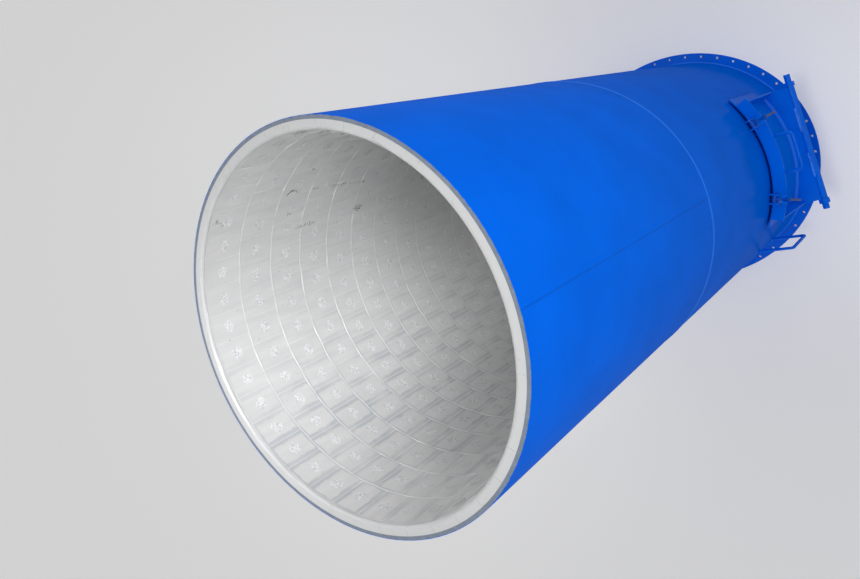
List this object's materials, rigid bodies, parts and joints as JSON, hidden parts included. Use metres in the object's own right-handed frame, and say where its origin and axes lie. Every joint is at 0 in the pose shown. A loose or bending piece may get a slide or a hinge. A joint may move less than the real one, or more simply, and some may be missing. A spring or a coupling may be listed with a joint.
{
  "type": "tile-lined flanged steel pipe section with inspection hatch",
  "caption": "Large round steel pipe section with a bolting flange at one end, a ceramic tile lining, a hinged inspection hatch held by swing bolts, and handles.",
  "frame": {"origin": "centre of the bolt circle on the flange's mating face, on which the pipe stands", "axes": "+Z along the pipe's axis to its open end, +X to the hatch's side"},
  "size_m": [1.4308, 1.328, 3.2],
  "materials": {
    "blue_paint": "glossy blue paint, bare steel at the open end's face",
    "bolt_paint": "blue paint with bare, brassy thread",
    "tile_ceramic": "pale grey fired tile, dirty, with glossy plugs",
    "nose_ceramic": "white fired bullnose blocks"
  },
  "bodies": {
    "pipe": {"shell_front_course": "blue_paint", "shell_rear_course": "blue_paint", "girth_weld": "blue_paint", "flange": "blue_paint", "flange_weld": "blue_paint", "nose_ring": "nose_ceramic", "tile_ring_01": "tile_ceramic", "tile_ring_02": "tile_ceramic", "tile_ring_03": "tile_ceramic", "tile_ring_04": "tile_ceramic", "tile_ring_05": "tile_ceramic", "tile_ring_06": "tile_ceramic", "tile_ring_07": "tile_ceramic", "tile_ring_08": "tile_ceramic", "tile_ring_09": "tile_ceramic", "tile_ring_10": "tile_ceramic", "tile_ring_11": "tile_ceramic", "tile_ring_12": "tile_ceramic", "tile_ring_13": "tile_ceramic", "tile_ring_14": "tile_ceramic", "tile_ring_15": "tile_ceramic", "tile_ring_16": "tile_ceramic", "tile_ring_17": "tile_ceramic", "tile_ring_18": "tile_ceramic", "tile_ring_19": "tile_ceramic", "tile_ring_20": "tile_ceramic", "tile_ring_21": "tile_ceramic", "hatch_collar": "blue_paint", "hatch_seat": "blue_paint", "fixed_hinge_plate": "blue_paint", "fixed_knuckles": "blue_paint", "hinge_pin": "blue_paint", "hinge_nuts": "blue_paint", "ears": "blue_paint", "pivot_pins": "blue_paint", "side_handle": "blue_paint"},
    "hatch_door": {"door_skin": "blue_paint", "door_front_rib": "blue_paint", "door_side_ribs": "blue_paint", "door_hinge_rib": "blue_paint", "door_weld": "blue_paint", "door_lining": "tile_ceramic", "door_lugs": "blue_paint", "door_handle": "blue_paint", "door_knuckles": "blue_paint"},
    "upper_bolt": {"swing_bolt_upper": "bolt_paint", "swing_nut_upper": "bolt_paint"},
    "lower_bolt": {"swing_bolt_lower": "bolt_paint", "swing_nut_lower": "bolt_paint"}
  },
  "joints": [
    {"name": "hatch_hinge", "type": "hinge", "parent": "pipe", "child": "hatch_door", "pos_m": [0.68402, 0.14539, 0.474], "axis": [-0.2079, 0.9781, 0], "range_deg": [0, 180]},
    {"name": "upper_bolt_pivot", "type": "hinge", "parent": "pipe", "child": "upper_bolt", "pos_m": [0.55521, 0.29025, 0.906], "axis": [0.4633, -0.8862, 0], "range_deg": [0, 90]},
    {"name": "lower_bolt_pivot", "type": "hinge", "parent": "pipe", "child": "lower_bolt", "pos_m": [0.62448, -0.05024, 0.906], "axis": [-0.0802, -0.9968, 0], "range_deg": [0, 90]}
  ]
}
